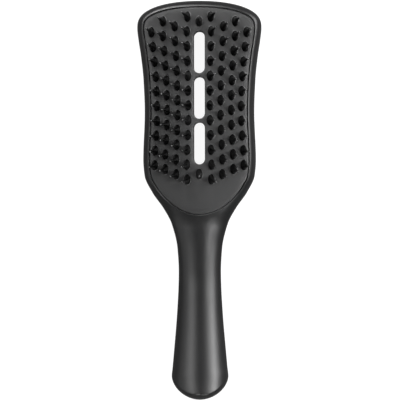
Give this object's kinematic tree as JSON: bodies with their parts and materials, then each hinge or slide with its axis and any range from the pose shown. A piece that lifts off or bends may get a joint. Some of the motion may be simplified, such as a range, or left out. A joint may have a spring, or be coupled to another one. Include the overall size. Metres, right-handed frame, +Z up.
{
  "type": "vent brush",
  "caption": "Vented hair brush: a hollow two-shell body with a tapering round handle, and a drop-in pad of slender leaning teeth with open slots through the head.",
  "frame": {"origin": "under the middle of the brush, on the surface that its back lies on", "axes": "+Y from the butt of the handle to the crown of the head, +X across the head, +Z up out of the tooth pad"},
  "size_m": [0.071, 0.228, 0.0326],
  "materials": {
    "body_plastic": "satin black, moulded",
    "pad_plastic": "soft matt black, moulded"
  },
  "bodies": {
    "root": {"front_shell": "body_plastic", "back_shell": "body_plastic", "tooth_pad": "pad_plastic"}
  },
  "joints": []
}
